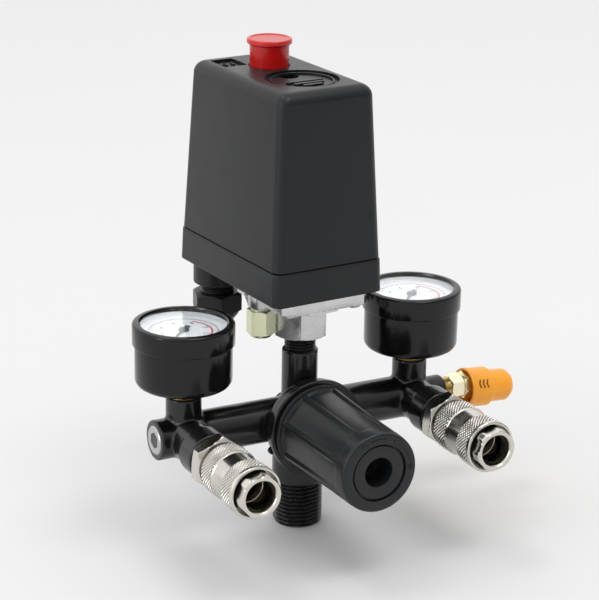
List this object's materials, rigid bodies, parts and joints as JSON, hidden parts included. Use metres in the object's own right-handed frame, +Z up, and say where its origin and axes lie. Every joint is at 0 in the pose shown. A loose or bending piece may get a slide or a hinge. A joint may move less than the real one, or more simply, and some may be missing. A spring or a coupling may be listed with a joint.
{
  "type": "pressure switch",
  "caption": "compressor pressure switch with a tall black cover on a cast manifold, with gauges, a regulator knob, quick couplers and a safety valve",
  "frame": {"origin": "centre of the bottom face of the tank thread", "axes": "+Z up the column, +X along the crossbar to the safety valve, -Y to the couplers and the regulator knob"},
  "size_m": [0.1794, 0.1303, 0.2034],
  "materials": {
    "manifold_paint": "gloss black",
    "plug_steel": "zinc plated",
    "bonnet_paint": "gloss black",
    "knob_plastic": "satin charcoal",
    "screw_steel": "zinc plated",
    "seat_brass": "turned",
    "spring_steel": "drawn wire",
    "diaphragm_rubber": "moulded",
    "poppet_brass": "turned",
    "relief_brass": "turned, pale",
    "relief_plastic": "orange",
    "stem_brass": "turned",
    "base_plastic": "satin black",
    "cover_plastic": "fine grain satin black",
    "button_plastic": "red",
    "plate_aluminium": "die cast",
    "piston_plastic": "moulded",
    "rocker_steel": "stamped",
    "terminal_plastic": "moulded",
    "terminal_brass": "plated",
    "gland_plastic": "moulded black",
    "unloader_brass": "turned",
    "unloader_zinc": "zinc plated brass",
    "gauge_paint": "gloss black",
    "bezel_paint": "gloss black",
    "gauge_glass": "clear",
    "dial_paint": "matt white",
    "needle_paint": "matt black",
    "gauge_brass": "turned",
    "coupler_nickel": "nickel plated",
    "sleeve_nickel": "nickel plated, knurled",
    "ball_steel": "polished",
    "valve_brass": "turned"
  },
  "bodies": {
    "manifold": {"manifold_body": "manifold_paint", "end_plug": "plug_steel", "regulator_bonnet": "bonnet_paint", "regulator_spring": "spring_steel", "regulator_diaphragm": "diaphragm_rubber", "poppet_spring": "spring_steel", "relief_body": "relief_brass", "relief_spring": "spring_steel", "switch_base": "base_plastic", "switch_cover": "cover_plastic", "cover_screw": "screw_steel", "flange_plate": "plate_aluminium", "flange_screws": "screw_steel", "switch_diaphragm": "diaphragm_rubber", "spring_bracket": "rocker_steel", "main_spring": "spring_steel", "range_screw": "screw_steel", "terminal_block": "terminal_plastic", "terminal_hardware": "terminal_brass", "gland_bodies": "gland_plastic", "gland_nuts": "gland_plastic", "unloader_body": "unloader_brass", "unloader_nut": "unloader_zinc", "gauge_case_left": "gauge_paint", "gauge_case_right": "gauge_paint", "gauge_bezel_left": "bezel_paint", "gauge_bezel_right": "bezel_paint", "gauge_lens_left": "gauge_glass", "gauge_lens_right": "gauge_glass", "gauge_dial_left": "dial_paint", "gauge_dial_right": "dial_paint", "gauge_stem_left": "gauge_brass", "gauge_stem_right": "gauge_brass", "bourdon_tube_left": "gauge_brass", "bourdon_tube_right": "gauge_brass", "coupler_body_left": "coupler_nickel", "coupler_body_right": "coupler_nickel", "coupler_sleeve_spring_left": "spring_steel", "coupler_sleeve_spring_right": "spring_steel", "coupler_balls_left": "ball_steel", "coupler_balls_right": "ball_steel", "coupler_valve_spring_left": "spring_steel", "coupler_valve_spring_right": "spring_steel"},
    "switch_button": {"switch_knob": "button_plastic"},
    "rocker_lever": {"rocker": "rocker_steel"},
    "switch_piston": {"diaphragm_piston": "piston_plastic"},
    "pressure_knob": {"regulator_knob": "knob_plastic", "adjusting_screw": "screw_steel"},
    "seat_nut": {"spring_seat": "seat_brass"},
    "poppet": {"regulator_poppet": "poppet_brass"},
    "relief_pull": {"relief_cap": "relief_plastic", "relief_stem": "stem_brass"},
    "needle_left": {"gauge_needle_left": "needle_paint"},
    "sector_left": {"sector_gear_left": "gauge_brass"},
    "sleeve_left": {"coupler_sleeve_left": "sleeve_nickel"},
    "valve_left": {"coupler_valve_left": "valve_brass"},
    "needle_right": {"gauge_needle_right": "needle_paint"},
    "sector_right": {"sector_gear_right": "gauge_brass"},
    "sleeve_right": {"coupler_sleeve_right": "sleeve_nickel"},
    "valve_right": {"coupler_valve_right": "valve_brass"}
  },
  "joints": [
    {"name": "button_slide", "type": "slide", "parent": "manifold", "child": "switch_button", "axis": [0, 0, 1], "range_m": [-0.008, 0]},
    {"name": "rocker_hinge", "type": "hinge", "parent": "manifold", "child": "rocker_lever", "pos_m": [0.0011, -0.01797, 0.1163], "axis": [0.9981, 0.061, 0], "range_deg": [0, 4.5], "stiffness_Nm_per_rad": 0.5, "springref_deg": -5.73, "deforming": ["main_spring"]},
    {"name": "piston_slide", "type": "slide", "parent": "manifold", "child": "switch_piston", "axis": [0, 0, 1], "range_m": [0, 0.0012]},
    {"name": "pressure_knob_turn", "type": "hinge", "parent": "manifold", "child": "pressure_knob", "pos_m": [0, 0, 0.0474], "axis": [0, 1, 0], "range_deg": [-720, 720]},
    {"name": "seat_slide", "type": "slide", "parent": "manifold", "child": "seat_nut", "axis": [0, 1, 0], "range_m": [-0.0026, 0.0026], "deforming": ["regulator_spring"]},
    {"name": "poppet_slide", "type": "slide", "parent": "manifold", "child": "poppet", "axis": [0, 1, 0], "range_m": [0, 0.0008], "stiffness_N_per_m": 200, "springref_m": -0.001, "deforming": ["poppet_spring"]},
    {"name": "relief_slide", "type": "slide", "parent": "manifold", "child": "relief_pull", "axis": [1, 0, 0], "range_m": [0, 0.0015], "stiffness_N_per_m": 400, "springref_m": -0.002, "deforming": ["relief_spring"]},
    {"name": "needle_turn_left", "type": "hinge", "parent": "manifold", "child": "needle_left", "pos_m": [-0.0536, 0, 0.0924], "axis": [0, 0, -1], "range_deg": [0, 270], "stiffness_Nm_per_rad": 0.00002},
    {"name": "sector_turn_left", "type": "hinge", "parent": "manifold", "child": "sector_left", "pos_m": [-0.0437, 0, 0.0846], "axis": [0, 0, -1], "range_deg": [-27.5, 0]},
    {"name": "sleeve_slide_left", "type": "slide", "parent": "manifold", "child": "sleeve_left", "axis": [0, 1, 0], "range_m": [0, 0.002], "stiffness_N_per_m": 400, "springref_m": -0.002, "deforming": ["coupler_sleeve_spring_left"]},
    {"name": "valve_slide_left", "type": "slide", "parent": "manifold", "child": "valve_left", "axis": [0, 1, 0], "range_m": [0, 0.0035], "stiffness_N_per_m": 150, "springref_m": -0.003, "deforming": ["coupler_valve_spring_left"]},
    {"name": "needle_turn_right", "type": "hinge", "parent": "manifold", "child": "needle_right", "pos_m": [0.0536, 0, 0.0924], "axis": [0, 0, -1], "range_deg": [0, 270], "stiffness_Nm_per_rad": 0.00002},
    {"name": "sector_turn_right", "type": "hinge", "parent": "manifold", "child": "sector_right", "pos_m": [0.0635, 0, 0.0846], "axis": [0, 0, -1], "range_deg": [-27.5, 0]},
    {"name": "sleeve_slide_right", "type": "slide", "parent": "manifold", "child": "sleeve_right", "axis": [0, 1, 0], "range_m": [0, 0.002], "stiffness_N_per_m": 400, "springref_m": -0.002, "deforming": ["coupler_sleeve_spring_right"]},
    {"name": "valve_slide_right", "type": "slide", "parent": "manifold", "child": "valve_right", "axis": [0, 1, 0], "range_m": [0, 0.0035], "stiffness_N_per_m": 150, "springref_m": -0.003, "deforming": ["coupler_valve_spring_right"]}
  ],
  "couplings": [
    {"joint": "piston_slide", "follows": "rocker_hinge", "m_per_rad": 0.015},
    {"joint": "seat_slide", "follows": "pressure_knob_turn", "m_per_rad": 0.00019894},
    {"joint": "sector_turn_left", "follows": "needle_turn_left", "ratio": -0.1},
    {"joint": "sector_turn_right", "follows": "needle_turn_right", "ratio": -0.1}
  ]
}
